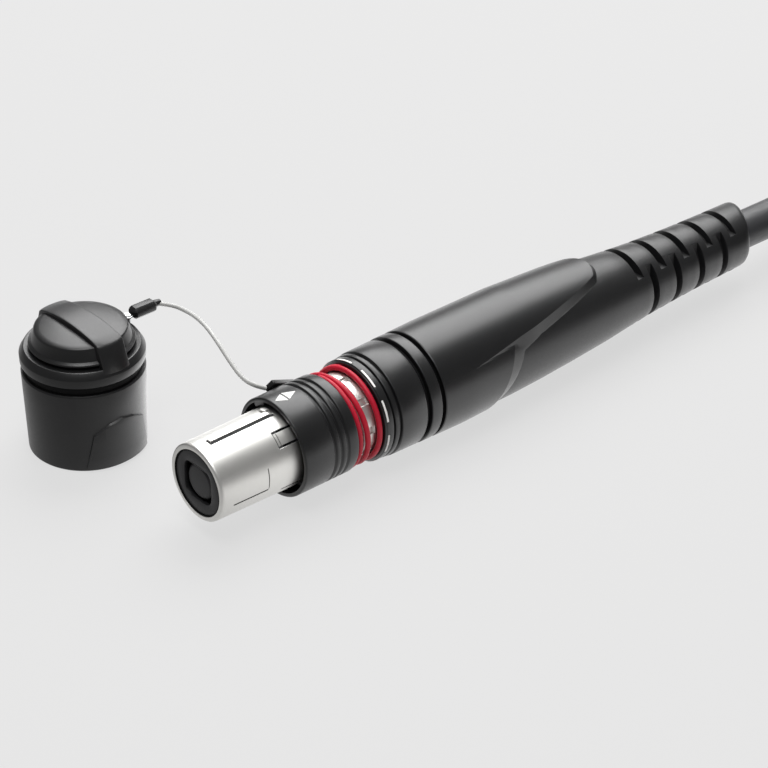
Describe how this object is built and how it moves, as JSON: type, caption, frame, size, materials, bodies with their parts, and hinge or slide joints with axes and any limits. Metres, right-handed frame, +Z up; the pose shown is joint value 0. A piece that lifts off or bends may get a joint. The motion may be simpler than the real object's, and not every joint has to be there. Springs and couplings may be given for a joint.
{
  "type": "multi-fibre cable plug with tethered dust cap",
  "caption": "Round push-pull fibre cable plug with sliding locking sleeve, red return spring, slotted boot, coiled cable and a dust cap on a wire lanyard.",
  "frame": {"origin": "centre of the plug nose front face, on the plug axis", "axes": "+X along the plug axis from the nose towards the cable, +Z up as it lies on a table"},
  "size_m": [0.3354, 0.2132, 0.0339],
  "materials": {
    "black_plastic": "satin black moulded plastic",
    "black_rubber": "black elastomer",
    "boot_rubber": "satin black elastomer",
    "nickel": "satin nickel plate",
    "dark_insert": "dark grey moulded plastic",
    "red_wire": "red coated spring wire",
    "steel": "bright steel",
    "fibre_block": "filled resin",
    "fibre": "coated fibre ribbon",
    "rope": "plastic coated steel rope",
    "jacket": "dark grey cable jacket",
    "tie": "black hook and loop tape"
  },
  "bodies": {
    "plug": {"nose_shell": "nickel", "nose_insert": "dark_insert", "insert_seal": "black_rubber", "fibre_ferrule": "fibre_block", "guide_pins": "steel", "ferrule_holder": "dark_insert", "ferrule_spring": "steel", "spring_push": "dark_insert", "fibre_ribbon": "fibre", "latch_ring": "nickel", "return_spring": "red_wire", "spring_seat": "black_plastic", "seat_inserts": "steel", "core_tube": "nickel", "collar": "black_plastic", "groove_seal_front": "black_rubber", "barrel_ring": "black_plastic", "groove_seal_rear": "black_rubber", "grip_shell": "black_plastic", "boot": "boot_rubber", "cable_clamp": "steel", "cap_cup": "black_plastic", "cap_sealing_disc": "black_rubber", "cap_seal": "black_rubber", "cap_flange": "black_plastic", "cap_knob": "black_plastic", "cap_pin": "steel", "lanyard_terminal_cap": "black_plastic", "lanyard_terminal_plug": "black_plastic", "lanyard_rope": "rope", "cable": "jacket", "cable_coil": "jacket", "coil_tie": "tie", "far_cable": "jacket", "far_plug": "black_plastic", "far_cap": "black_plastic"},
    "sleeve": {"locking_sleeve": "black_plastic"},
    "shutter_door": {"shutter": "dark_insert"}
  },
  "joints": [
    {"name": "sleeve_slide", "type": "slide", "parent": "plug", "child": "sleeve", "axis": [1, 0, 0], "range_m": [0, 0.0025], "deforming": ["return_spring"]},
    {"name": "shutter_swing", "type": "hinge", "parent": "plug", "child": "shutter_door", "pos_m": [0.0012, 0, 0.00405], "axis": [0, -1, 0], "range_deg": [0, 80]}
  ]
}
